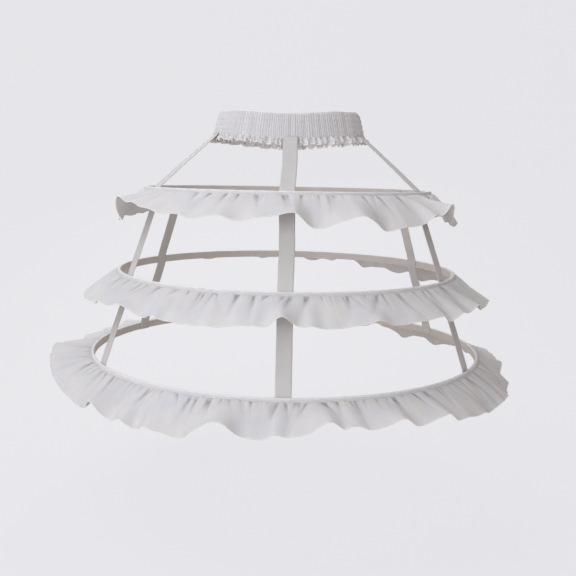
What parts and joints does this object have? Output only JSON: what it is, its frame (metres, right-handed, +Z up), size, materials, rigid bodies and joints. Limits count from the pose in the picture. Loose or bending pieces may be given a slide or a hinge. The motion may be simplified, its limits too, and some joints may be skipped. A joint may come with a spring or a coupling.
{
  "type": "crinoline cage",
  "caption": "White crinoline cage: sprung hoops in cloth casings with gathered ruffles, hung by flat tapes from a shirred elastic waistband.",
  "frame": {"origin": "centre of the waist opening, at the middle of the waistband's height", "axes": "+Z up out of the waist opening, -Y towards the front of the cage, +X to the viewer's right of the front"},
  "size_m": [0.7738, 0.7796, 0.4422],
  "materials": {
    "white_cloth": "plain-woven cotton blend, bleached white",
    "woven_tape": "woven ribbed tape, white",
    "waist_elastic": "woven elastic, white",
    "coated_boning": "spring steel with a white plastic coat",
    "joiner_steel": "folded sheet steel"
  },
  "bodies": {
    "root": {"waistband": "white_cloth", "waist_elastic": "waist_elastic", "strap_front": "woven_tape", "strap_front_right": "woven_tape", "strap_back_right": "woven_tape", "strap_back": "woven_tape", "strap_back_left": "woven_tape", "strap_front_left": "woven_tape", "top_casing": "white_cloth", "top_hoop": "coated_boning", "top_hoop_joiner": "joiner_steel", "top_ruffle": "white_cloth", "middle_casing": "white_cloth", "middle_hoop": "coated_boning", "middle_hoop_joiner": "joiner_steel", "middle_ruffle": "white_cloth", "bottom_casing": "white_cloth", "bottom_hoop": "coated_boning", "bottom_hoop_joiner": "joiner_steel", "bottom_ruffle": "white_cloth"}
  },
  "joints": []
}
